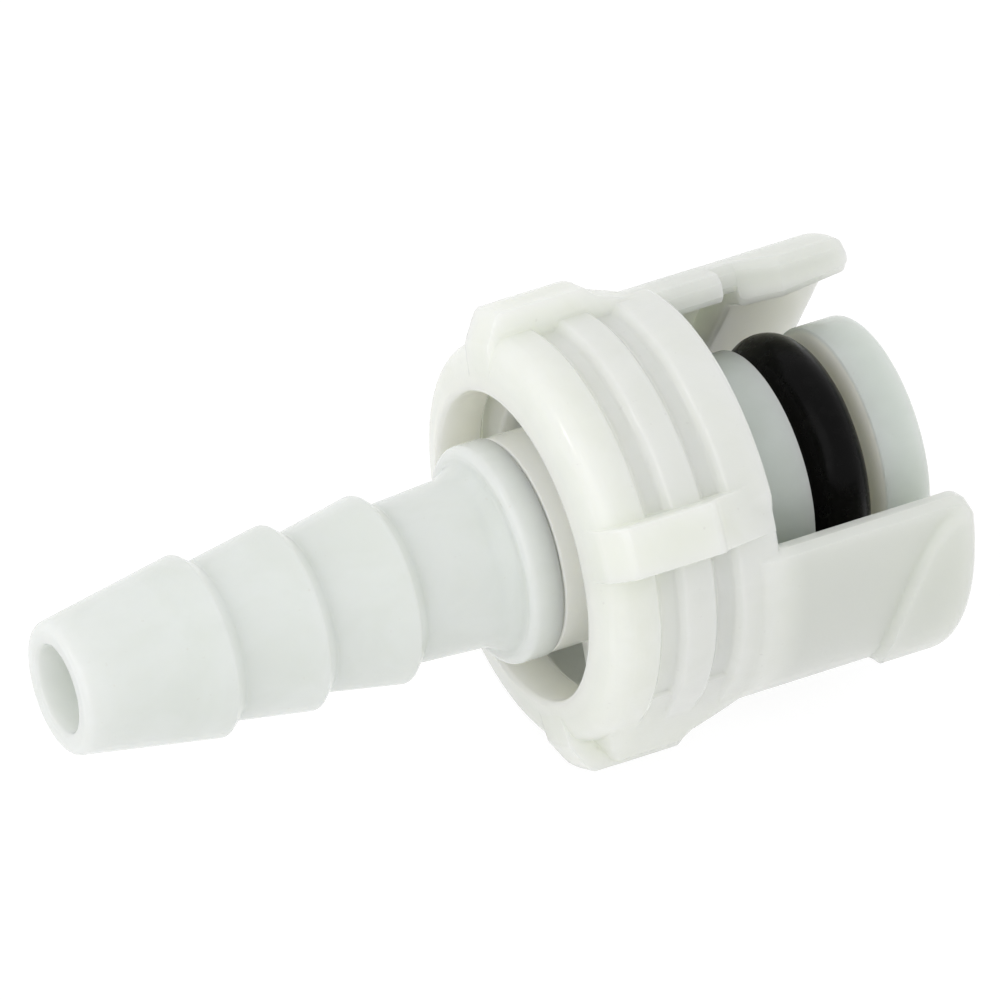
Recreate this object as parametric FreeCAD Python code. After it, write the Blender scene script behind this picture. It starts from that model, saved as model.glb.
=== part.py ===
# Quick disconnect coupling insert for soft tubing, in millimetres.
# The flow axis is +X: the hose slides over the barbs at x = 0 and the probe plugs in at the other end.
# +Z points through the middle of one squeeze grip, and the part lies on the other grip.
# A stem and a probe housing are welded round a sprung poppet valve. A one-piece latch collar
# turns on the stem's journal and carries two hooked arms that reach past the probe's O-ring.
# Angles are in degrees about the flow axis, from +Z, by the right-hand rule about +X.
import FreeCAD, Part

import math
import os

Vec = FreeCAD.Vector
ORIGIN = Vec(0, 0, 0)
FLOW = Vec(1, 0, 0)

# Hose stem: barbs and bore
bore_r = 2.6
tip_r = 3.85
tip_edge_radius = 0.5
barb_count = 3
barb_first_x = 8.7
barb_pitch = 5.7
barb_crest_r = 5.35
barb_crest_growth = 0.09
barb_crest_radius = 0.25
barb_root_r = 4.65
barb_back_length = 0.9
barb_root_radius = 0.3
neck_r = 4.95
neck_length = 5.7
neck_fillet = 1.3
drum_r = 6.4
drum_length = 2.0
drum_edge_radius = 0.25

# Journal that the collar turns on, and the spigot welded into the housing
journal_r = 5.4
spigot_wall = 1.2
spigot_chamfer = 0.25
spring_pocket_depth = 5.6
weld_clearance = 0.02

# Probe housing: lands, O-ring groove and valve chamber
land_r = 7.1
land_length = 11.1
land_edge_radius = 0.3
groove_width = 4.4
groove_floor_r = 3.9
nose_land_length = 2.8
nose_edge_radius = 0.35
throat_r = 2.9
throat_mouth_chamfer = 0.5
chamber_r = 4.95
seat_setback = 0.55
seal_section = 3.5
seal_clearance = 0.02

# Poppet valve
valve_seal_section = 1.2
valve_seal_mean_r = 3.0
valve_seat_clearance = 0.04
poppet_head_r = 4.3
poppet_head_length = 2.0
poppet_lip_length = 0.6
poppet_lip_r = 2.7
poppet_gland_play = 0.1
poppet_nose_setback = 0.6
poppet_guide_clearance = 0.08
poppet_core_r = 0.9
poppet_rib_count = 4
poppet_rib_thickness = 0.9
poppet_tail_r = 2.3
poppet_tail_length = 2.0
poppet_travel = 3.0
poppet_stop_clearance = 0.3
poppet_edge_radius = 0.2
spring_wire_r = 0.3
spring_mean_r = 3.0
spring_turns = 5.5
spring_end_clearance = 0.02

# Latch collar: hub, spokes behind the pads and webs behind the arms
hub_clearance = 0.06
hub_wall = 0.85
hub_length = 4.6
hub_end_play = 0.1
spoke_thickness = 1.4
web_gap = 1.6

# Latch collar: ring with two grooves all round, raised at its two squeeze grips
ring_start = 0.7
ring_length = 10.45
ring_inner_r = 10.3
ring_wall = 1.5
grip_rise = 0.5
ring_front_radius = 1.2
ring_rear_radius = 0.4
lip_reach = 0.8
lip_height = 1.2
lip_length = 2.8
lip_slope = 0.8
lip_edge_radius = 0.25
band_groove_offsets = (2.5, 6.05)
band_groove_width = 1.8
band_groove_depth = 0.8
band_groove_slope = 0.45
band_groove_radius = 0.35

# Latch collar: four pads that end the grips, two of them with a wedge that runs out into the ring
pad_height = 1.85
pad_angle = 42.75
pad_width = 14.5
pad_overhang = 0.35
pad_front_lean = 1.0
pad_front_height = 0.1
pad_flat_end = 7.1
pad_shoulder_length = 0.5
pad_shoulder_drop = 0.6
pad_slope_end = 10.1
pad_root_depth = 1.0
pad_edge_radius = 0.4
pad_side_radius = 0.3
wedge_setback = 1.5
wedge_sink = 0.3

# Latch collar: two hooked arms, each a quarter turn wide and set just past a pad
arm_rise = 0.2
arm_start_angle = 56.0
arm_span = 89.0
arm_root_offset = 8.7
arm_end_radius = 0.7
arm_corner_radius = 1.0
hook_length = 6.4
hook_lip_height = 0.95
hook_lip_flare = 0.6
hook_tooth_height = 1.8
hook_edge_radius = 0.35
notch_length = 1.5
notch_depth = 1.4
notch_ramp_length = 2.2
boss_height = 0.55
boss_length = 4.4
boss_half_width = 8.2
boss_edge_radius = 0.7

# Stations along the flow axis, worked out from the sizes above
barb_end_x = barb_first_x + barb_pitch * (barb_count - 1) + barb_back_length
drum_x0 = barb_end_x + neck_length
drum_x1 = drum_x0 + drum_length
hub_x0 = drum_x1 + hub_end_play
hub_x1 = hub_x0 + hub_length
journal_x1 = hub_x1 + hub_end_play
seal_groove_x0 = journal_x1 + land_length
seal_groove_x1 = seal_groove_x0 + groove_width
probe_x1 = seal_groove_x1 + nose_land_length
seat_x1 = seal_groove_x0 - seat_setback
seat_x0 = seat_x1 - (chamber_r - throat_r)
ring_x0 = drum_x1 + ring_start
ring_x1 = ring_x0 + ring_length
lip_x0 = ring_x0 - lip_reach
hook_x0 = probe_x1 - hook_length

# Radii and valve stations that follow from the fits
hub_inner_r = journal_r + hub_clearance
hub_outer_r = hub_inner_r + hub_wall
ring_outer_r = ring_inner_r + ring_wall
lip_inner_r = ring_inner_r - lip_height
web_inner_r = hub_outer_r + web_gap
grip_outer_r = ring_outer_r + grip_rise
pad_outer_r = ring_outer_r + pad_height
arm_outer_r = ring_outer_r + arm_rise
hook_lip_r = ring_inner_r - hook_lip_height
hook_tooth_z = ring_inner_r - hook_tooth_height
spigot_r = chamber_r - weld_clearance
spring_pocket_r = spigot_r - spigot_wall
valve_seal_x = (
    seat_x0 + chamber_r - valve_seal_mean_r
    - math.sqrt(2.0) * (valve_seal_section / 2 + valve_seat_clearance)
)
poppet_gland_x0 = valve_seal_x - valve_seal_section / 2 - poppet_gland_play
poppet_gland_x1 = valve_seal_x + valve_seal_section / 2 + poppet_gland_play
poppet_head_x0 = poppet_gland_x0 - poppet_head_length
poppet_nose_x0 = poppet_gland_x1 + poppet_lip_length
poppet_nose_x1 = probe_x1 - poppet_nose_setback
spigot_x1 = poppet_head_x0 - poppet_travel - poppet_stop_clearance
spring_seat_x = spigot_x1 - spring_pocket_depth


def rounded_face(corners):
    """Face in the XZ plane through (x, r, radius) corners, each corner rounded to its radius."""
    count = len(corners)
    spots = [Vec(x, 0, r) for x, r, _ in corners]
    radii = [radius for _, _, radius in corners]
    trims = []
    for index in range(count):
        here = spots[index]
        before = spots[index - 1]
        after = spots[(index + 1) % count]
        radius = radii[index]
        if radius == 0:
            trims.append((here, None, here))
            continue
        to_before = (before - here).normalize()
        to_after = (after - here).normalize()
        half_turn = to_before.getAngle(to_after) / 2
        share_before = radius / (radius + radii[index - 1])
        share_after = radius / (radius + radii[(index + 1) % count])
        reach = min(
            radius / math.tan(half_turn),
            0.98 * share_before * (before - here).Length,
            0.98 * share_after * (after - here).Length,
        )
        fitted = reach * math.tan(half_turn)
        inward = (to_before + to_after).normalize()
        middle = here + inward * (fitted / math.sin(half_turn) - fitted)
        trims.append((here + to_before * reach, middle, here + to_after * reach))
    edges = []
    for index in range(count):
        start, middle, end = trims[index]
        if middle is not None:
            edges.append(Part.Arc(start, middle, end).toShape())
        edges.append(Part.LineSegment(end, trims[(index + 1) % count][0]).toShape())
    return Part.Face(Part.Wire(edges))


def turned(corners):
    """Solid of revolution about the flow axis."""
    return rounded_face(corners).revolve(ORIGIN, FLOW, 360)


def sector(corners, start_angle, end_angle):
    """The part of a solid of revolution between two angles about the flow axis."""
    solid = rounded_face(corners).revolve(ORIGIN, FLOW, end_angle - start_angle)
    solid.rotate(ORIGIN, FLOW, start_angle)
    return solid


def spun(shape, angle):
    """Copy of a shape turned about the flow axis."""
    copy = shape.copy()
    copy.rotate(ORIGIN, FLOW, angle)
    return copy


def ring_seal(x, mean_r, section):
    """O-ring about the flow axis."""
    return Part.makeTorus(mean_r, section / 2, Vec(x, 0, 0), FLOW)


def hose_stem():
    """Barbed hose end, drum, journal for the collar and spigot for the weld, bored through."""
    outline = [(0, bore_r, tip_edge_radius / 2), (0, tip_r, tip_edge_radius)]
    for index in range(barb_count):
        crest_x = barb_first_x + index * barb_pitch
        crest_r = barb_crest_r + index * barb_crest_growth
        outline.append((crest_x, crest_r, barb_crest_radius))
        outline.append((crest_x + barb_back_length, barb_root_r, barb_root_radius))
    outline += [
        (drum_x0, neck_r, neck_fillet),
        (drum_x0, drum_r, drum_edge_radius),
        (drum_x1, drum_r, drum_edge_radius),
        (drum_x1, journal_r, 0),
        (journal_x1, journal_r, 0),
        (journal_x1, spigot_r, 0),
        (spigot_x1, spigot_r, spigot_chamfer),
        (spigot_x1, spring_pocket_r, 0),
        (spring_seat_x, spring_pocket_r, 0),
        (spring_seat_x, bore_r, 0),
    ]
    return turned(outline)


def probe_housing():
    """Probe that plugs into the socket: two lands, an O-ring groove, a valve chamber and its seat."""
    return turned([
        (journal_x1, chamber_r, 0),
        (journal_x1, land_r, land_edge_radius),
        (seal_groove_x0, land_r, 0),
        (seal_groove_x0, groove_floor_r, 0),
        (seal_groove_x1, groove_floor_r, 0),
        (seal_groove_x1, land_r, 0),
        (probe_x1, land_r, nose_edge_radius),
        (probe_x1, throat_r + throat_mouth_chamfer, 0),
        (probe_x1 - throat_mouth_chamfer, throat_r, 0),
        (seat_x1, throat_r, 0),
        (seat_x0, chamber_r, 0),
    ])


def probe_seal():
    """Large O-ring stretched into the probe's groove."""
    mean_r = groove_floor_r + seal_clearance + seal_section / 2
    return ring_seal((seal_groove_x0 + seal_groove_x1) / 2, mean_r, seal_section)


def poppet_seal():
    """Small O-ring that closes on the chamber's cone."""
    return ring_seal(valve_seal_x, valve_seal_mean_r, valve_seal_section)


def valve_poppet():
    """Poppet with a spring tail, a head, a gland for its seal and a ribbed nose in the throat."""
    gland_floor_r = valve_seal_mean_r - valve_seal_section / 2 - seal_clearance
    body = turned([
        (poppet_head_x0 - poppet_tail_length, 0, 0),
        (poppet_head_x0 - poppet_tail_length, poppet_tail_r, poppet_edge_radius),
        (poppet_head_x0, poppet_tail_r, 0),
        (poppet_head_x0, poppet_head_r, poppet_edge_radius),
        (poppet_gland_x0, poppet_head_r, poppet_edge_radius),
        (poppet_gland_x0, gland_floor_r, 0),
        (poppet_gland_x1, gland_floor_r, 0),
        (poppet_gland_x1, poppet_lip_r, poppet_edge_radius),
        (poppet_nose_x0, poppet_lip_r, poppet_edge_radius),
        (poppet_nose_x0, poppet_core_r, 0),
        (poppet_nose_x1, poppet_core_r, poppet_edge_radius),
        (poppet_nose_x1, 0, 0),
    ])
    rib_r = throat_r - poppet_guide_clearance
    envelope = turned([
        (poppet_gland_x1, 0, 0),
        (poppet_gland_x1, poppet_core_r, 0),
        (poppet_nose_x0, rib_r, 0),
        (poppet_nose_x1, rib_r, poppet_edge_radius),
        (poppet_nose_x1, 0, 0),
    ])
    ribs = []
    for index in range(poppet_rib_count):
        rib = Part.makeBox(
            poppet_nose_x1 - poppet_gland_x1,
            poppet_rib_thickness,
            rib_r,
            Vec(poppet_gland_x1, -poppet_rib_thickness / 2, 0),
        )
        ribs.append(spun(rib, index * 360 / poppet_rib_count).common(envelope))
    return body.multiFuse(ribs).removeSplitter()


def valve_spring():
    """Compression spring between the stem's pocket and the poppet's head, its ends ground flat."""
    x0 = spring_seat_x + spring_end_clearance
    x1 = poppet_head_x0 - spring_end_clearance
    pitch = (x1 - x0) / spring_turns
    coil = Part.makeHelix(pitch, x1 - x0, spring_mean_r)
    section = Part.Wire(Part.makeCircle(spring_wire_r, Vec(spring_mean_r, 0, 0), Vec(0, 1, 0)))
    wire = Part.Wire(coil).makePipeShell([section], True, True)
    wire.rotate(ORIGIN, Vec(0, 1, 0), 90)
    wire.translate(Vec(x0, 0, 0))
    keep = Part.makeCylinder(spring_mean_r + 2 * spring_wire_r, x1 - x0, Vec(x0, 0, 0), FLOW)
    return wire.common(keep)


def ring_outline(outer_r):
    """Section of the ring: a front lip with a cone up to the outer radius, two grooves and a rear rim."""
    inner_r = outer_r - ring_wall
    cone_run = lip_reach / (ring_outer_r - lip_inner_r)
    outline = [
        (lip_x0 + lip_length + lip_slope, inner_r, 0),
        (lip_x0 + lip_length, lip_inner_r, 0),
        (lip_x0, lip_inner_r, lip_edge_radius),
        (lip_x0 + (outer_r - lip_inner_r) * cone_run, outer_r, ring_front_radius),
    ]
    floor_r = outer_r - band_groove_depth
    for offset in band_groove_offsets:
        x = ring_x0 + offset
        outline += [
            (x, outer_r, band_groove_radius),
            (x + band_groove_slope, floor_r, band_groove_radius),
            (x + band_groove_width - band_groove_slope, floor_r, band_groove_radius),
            (x + band_groove_width, outer_r, band_groove_radius),
        ]
    outline += [(ring_x1, outer_r, ring_rear_radius), (ring_x1, inner_r, 0)]
    return outline


def ring_quarters():
    """One raised grip and the lower side of the ring that follows it, up to the next grip."""
    grip = sector(ring_outline(grip_outer_r), -pad_angle, pad_angle)
    side = sector(ring_outline(ring_outer_r), pad_angle, 180 - pad_angle)
    return [grip, side]


def pad(start_angle, end_angle, setback=0):
    """Raised pad: a leaning front, a flat top, a shoulder and a slope down to the rear rim."""
    root_r = ring_outer_r - pad_root_depth
    front_x = ring_x0 - pad_overhang + setback
    shoulder_x = ring_x0 + pad_flat_end + pad_shoulder_length
    return sector(
        [
            (front_x, root_r, 0),
            (front_x, ring_outer_r + pad_front_height, pad_edge_radius),
            (front_x + pad_front_lean, pad_outer_r, pad_edge_radius),
            (ring_x0 + pad_flat_end, pad_outer_r, pad_edge_radius),
            (shoulder_x, pad_outer_r - pad_shoulder_drop, pad_edge_radius),
            (ring_x0 + pad_slope_end, ring_outer_r, 0),
            (ring_x0 + pad_slope_end, root_r, 0),
        ],
        start_angle,
        end_angle,
    )


def square_pad():
    """Pad with two radial sides, the long edges of its top rounded."""
    solid = pad(pad_angle - pad_width / 2, pad_angle + pad_width / 2)
    top_edges = [
        edge for edge in solid.Edges
        if len(edge.Vertexes) == 2
        and abs(edge.tangentAt(edge.FirstParameter).x) > 0.999
        and math.hypot(edge.CenterOfMass.y, edge.CenterOfMass.z) > pad_outer_r - pad_shoulder_drop / 2
    ]
    return solid.makeFillet(pad_side_radius, top_edges)


def pad_wedge():
    """Wedge beside a pad: a plane flank that starts at the pad's top edge and runs out into the ring."""
    near = pad_width / 2 - math.degrees(pad_side_radius / pad_outer_r)
    flank_r = ring_outer_r - wedge_sink
    flank_angle = pad_angle + near + math.degrees(math.acos(flank_r / pad_outer_r))
    keep = Part.makeBox(
        ring_length,
        4 * pad_outer_r,
        2 * flank_r,
        Vec(ring_x0, -2 * pad_outer_r, -flank_r),
    )
    return pad(-flank_angle, -pad_angle, wedge_setback).common(spun(keep, -flank_angle))


def spoke():
    """Web that ties the hub to the ring behind a pad."""
    root_r = hub_outer_r - hub_wall / 2
    rim_r = ring_outer_r - ring_wall / 4
    return sector(
        [
            (hub_x1 - spoke_thickness, root_r, 0),
            (hub_x1 - spoke_thickness, rim_r, 0),
            (hub_x1, rim_r, 0),
            (hub_x1, root_r, 0),
        ],
        pad_angle - pad_width / 2,
        pad_angle + pad_width / 2,
    )


def arm_web():
    """Web behind an arm, from spoke to spoke, that leaves a slot round the hub."""
    return sector(
        [
            (hub_x1 - spoke_thickness, web_inner_r, 0),
            (hub_x1 - spoke_thickness, ring_inner_r + ring_wall / 2, 0),
            (hub_x1, ring_inner_r + ring_wall / 2, 0),
            (hub_x1, web_inner_r, 0),
        ],
        pad_angle,
        180 - pad_angle,
    )


def arm_corner_cut():
    """What rounding the tip corner at the arm's first edge takes away."""
    depth = arm_outer_r - hook_tooth_z + 2 * boss_height
    start_r = hook_tooth_z - boss_height
    block = Part.makeBox(
        2 * arm_corner_radius,
        2 * arm_corner_radius,
        depth,
        Vec(probe_x1 - arm_corner_radius, 0, start_r),
    )
    post = Part.makeCylinder(
        arm_corner_radius, depth, Vec(probe_x1 - arm_corner_radius, 0, start_r), Vec(0, 0, 1)
    )
    inset = math.degrees(math.asin(arm_corner_radius / arm_outer_r))
    return spun(block.cut(post), arm_start_angle + inset)


def arm_notch():
    """Notch in the arm's later edge, square at one end and ramped up to the hook at the other."""
    outline = [
        (hook_x0 - notch_length, notch_depth),
        (hook_x0 - notch_length, -notch_depth),
        (hook_x0 + 2 * notch_ramp_length, -notch_depth),
        (hook_x0, notch_depth),
    ]
    spots = [Vec(x, y, hook_tooth_z - boss_height) for x, y in outline]
    face = Part.Face(Part.makePolygon(spots + spots[:1]))
    prism = face.extrude(Vec(0, 0, arm_outer_r - hook_tooth_z + 2 * boss_height))
    return spun(prism, arm_start_angle + arm_span)


def latch_arm():
    """Hooked arm: a quarter shell with a lip and a flat-faced tooth inside its tip."""
    end_angle = arm_start_angle + arm_span
    overlap_r = ring_inner_r + ring_wall / 2
    shell = sector(
        [
            (ring_x0 + arm_root_offset, ring_inner_r, 0),
            (ring_x0 + arm_root_offset, arm_outer_r, 0),
            (probe_x1, arm_outer_r, arm_end_radius),
            (probe_x1, ring_inner_r, 0),
        ],
        arm_start_angle,
        end_angle,
    )
    lip = sector(
        [
            (hook_x0, hook_lip_r, hook_edge_radius),
            (hook_x0, overlap_r, 0),
            (probe_x1, overlap_r, 0),
            (probe_x1, hook_lip_r + hook_lip_flare, hook_edge_radius),
        ],
        arm_start_angle,
        end_angle,
    )
    tooth = rounded_face([
        (hook_x0, hook_tooth_z, hook_edge_radius),
        (hook_x0, overlap_r, 0),
        (probe_x1, overlap_r, 0),
        (probe_x1, hook_tooth_z, hook_edge_radius),
    ]).extrude(Vec(0, 2 * overlap_r, 0))
    tooth.translate(Vec(0, -overlap_r, 0))
    tooth = spun(tooth, arm_start_angle + arm_span / 2)
    inside = Part.makeCylinder(overlap_r, hook_length, Vec(hook_x0, 0, 0), FLOW)
    return shell.multiFuse([lip, tooth.common(inside)]).cut([arm_notch(), arm_corner_cut()])


def thumb_boss():
    """Raised half-oval near one arm's tip, cut off square by the tip."""
    outer_r = arm_outer_r + boss_height
    crown = sector(
        [
            (probe_x1 - boss_length, arm_outer_r - ring_wall / 2, 0),
            (probe_x1 - boss_length, outer_r, 0),
            (probe_x1, outer_r, boss_edge_radius),
            (probe_x1, arm_outer_r - ring_wall / 2, 0),
        ],
        arm_start_angle,
        arm_start_angle + arm_span,
    )
    middle = Vec(probe_x1, 0, 0)
    oval = Part.Ellipse(middle + Vec(0, boss_half_width, 0), middle - Vec(boss_length, 0, 0), middle)
    prism = Part.Face(Part.Wire(oval.toShape())).extrude(Vec(0, 0, outer_r + boss_height))
    return crown.common(spun(prism, arm_start_angle + arm_span / 2))


def latch_collar():
    """One-piece latch collar: hub, spokes and webs, grip ring, pads, hooked arms and thumb boss."""
    hub = turned([
        (hub_x0, hub_inner_r, 0),
        (hub_x0, hub_outer_r, 0),
        (hub_x1, hub_outer_r, 0),
        (hub_x1, hub_inner_r, 0),
    ])
    pieces = [thumb_boss()]
    half_turn = ring_quarters() + [
        square_pad(),
        spun(square_pad(), -2 * pad_angle),
        pad_wedge(),
        spoke(),
        spun(spoke(), -2 * pad_angle),
        arm_web(),
        latch_arm(),
    ]
    for turn in (0, 180):
        pieces += [spun(shape, turn) for shape in half_turn]
    return hub.multiFuse(pieces)


nodes = {
    "hose_stem": hose_stem,
    "probe_housing": probe_housing,
    "probe_seal": probe_seal,
    "valve_poppet": valve_poppet,
    "poppet_seal": poppet_seal,
    "valve_spring": valve_spring,
    "latch_collar": latch_collar,
}

os.makedirs("parts", exist_ok=True)
for node, make in nodes.items():
    shape = make()
    shape.exportStep(f"parts/{node}.step")
    centre = shape.CenterOfGravity
    print(f"{node}: valid {shape.isValid()}, solids {len(shape.Solids)}, volume {shape.Volume:.1f}, "
          f"centre x {centre.x:.2f} y {centre.y:.2f} z {centre.z:.2f}, "
          f"x {shape.BoundBox.XMin:.2f} to {shape.BoundBox.XMax:.2f}")
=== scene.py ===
"""Quick disconnect coupling insert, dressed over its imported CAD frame.

The stem, the probe and the seals are fine lathed surfaces, the spring is a wire swept along its
coil, and the latch collar is worked out as smooth height fields that are fused to one shell. Sizes
are in millimetres and angles in degrees about the flow axis, from +Z by the right-hand rule about
+X, until a mesh is made. The studio's sizes are in metres.
"""

import logging
import math
from dataclasses import dataclass
from enum import Enum

import bpy
import numpy as np
from mathutils import Matrix, Vector


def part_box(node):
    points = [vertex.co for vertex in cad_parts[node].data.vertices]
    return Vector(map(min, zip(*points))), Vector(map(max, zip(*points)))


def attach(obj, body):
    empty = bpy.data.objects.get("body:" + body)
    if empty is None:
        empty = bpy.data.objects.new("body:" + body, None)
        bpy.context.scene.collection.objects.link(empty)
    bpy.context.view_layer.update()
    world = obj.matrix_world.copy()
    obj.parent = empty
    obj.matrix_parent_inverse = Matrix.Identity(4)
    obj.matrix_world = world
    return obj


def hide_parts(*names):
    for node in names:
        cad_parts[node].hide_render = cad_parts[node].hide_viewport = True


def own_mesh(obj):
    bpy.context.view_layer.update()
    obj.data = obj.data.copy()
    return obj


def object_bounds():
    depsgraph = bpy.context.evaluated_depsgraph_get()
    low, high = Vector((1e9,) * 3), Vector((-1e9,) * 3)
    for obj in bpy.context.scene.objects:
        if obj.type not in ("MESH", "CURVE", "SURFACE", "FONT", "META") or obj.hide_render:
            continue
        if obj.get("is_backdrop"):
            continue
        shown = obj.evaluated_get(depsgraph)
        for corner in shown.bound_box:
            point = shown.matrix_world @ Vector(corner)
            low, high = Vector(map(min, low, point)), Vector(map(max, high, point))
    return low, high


MM = 0.001
TINY = 1e-9
# Sockets of the Mix node in its colour form
MIX_SHARE = 0
MIX_FIRST = 6
MIX_SECOND = 7
MIX_RESULT = 2
log = logging.getLogger("coupling_insert")
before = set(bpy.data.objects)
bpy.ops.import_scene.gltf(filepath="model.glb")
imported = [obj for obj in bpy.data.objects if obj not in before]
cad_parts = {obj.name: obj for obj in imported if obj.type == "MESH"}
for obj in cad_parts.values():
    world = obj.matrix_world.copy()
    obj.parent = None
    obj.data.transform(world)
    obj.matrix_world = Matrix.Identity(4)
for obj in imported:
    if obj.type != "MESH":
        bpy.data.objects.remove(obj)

Corner = tuple[float, float, float]
Band = tuple[float, float]
Layer = tuple[bpy.types.NodeSocket, str]


# Colour and node helpers


def linear(hex_colour: str) -> tuple[float, float, float, float]:
    """Turns an sRGB hex colour into linear light.

    Args:
        hex_colour: Six hex digits, such as "e6e8e2".

    Returns:
        Red, green, blue and an alpha of 1.
    """
    values = [int(hex_colour[start:start + 2], 16) / 255 for start in (0, 2, 4)]
    return (*(v / 12.92 if v <= 0.04045 else ((v + 0.055) / 1.055) ** 2.4 for v in values), 1.0)


def add_node(
    tree: bpy.types.NodeTree,
    kind: str,
    inputs: dict[int | str, object] | None = None,
    links: dict[int | str, bpy.types.NodeSocket] | None = None,
    **settings: object,
) -> bpy.types.Node:
    """Adds one node, sets its fields and sockets and links what feeds it.

    Args:
        tree: The node tree that gets the node.
        kind: The node's type name.
        inputs: Values for its input sockets, by name or number.
        links: Output sockets that feed its input sockets, by name or number.
        **settings: The node's own fields.

    Returns:
        The new node.
    """
    node = tree.nodes.new(kind)
    for key, value in settings.items():
        setattr(node, key, value)
    for key, value in (inputs or {}).items():
        node.inputs[key].default_value = value
    for key, source in (links or {}).items():
        tree.links.new(source, node.inputs[key])
    return node


def layered_colour(tree: bpy.types.NodeTree, base: str, layers: list[Layer]) -> bpy.types.NodeSocket:
    """Lays colours over a base colour, each by its own share.

    Args:
        tree: The node tree.
        base: The base's hex colour.
        layers: The share's socket and the hex colour of each layer, the lowest first.

    Returns:
        The socket of the top colour.
    """
    values: dict[int | str, object] = {MIX_FIRST: linear(base)}
    links: dict[int | str, bpy.types.NodeSocket] = {}
    for share, colour in layers:
        mix = add_node(
            tree, "ShaderNodeMix", {**values, MIX_SECOND: linear(colour)}, {**links, MIX_SHARE: share},
            data_type="RGBA",
        )
        values = {}
        links = {MIX_FIRST: mix.outputs[MIX_RESULT]}
    return links[MIX_FIRST]


def blank_material(name: str) -> tuple[bpy.types.Material, bpy.types.NodeTree]:
    """Makes a material with an empty node tree.

    Args:
        name: The material's name.

    Returns:
        The material and its tree.
    """
    material = bpy.data.materials.new(name)
    material.use_nodes = True
    material.node_tree.nodes.clear()
    return material, material.node_tree


# Finishes


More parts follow.
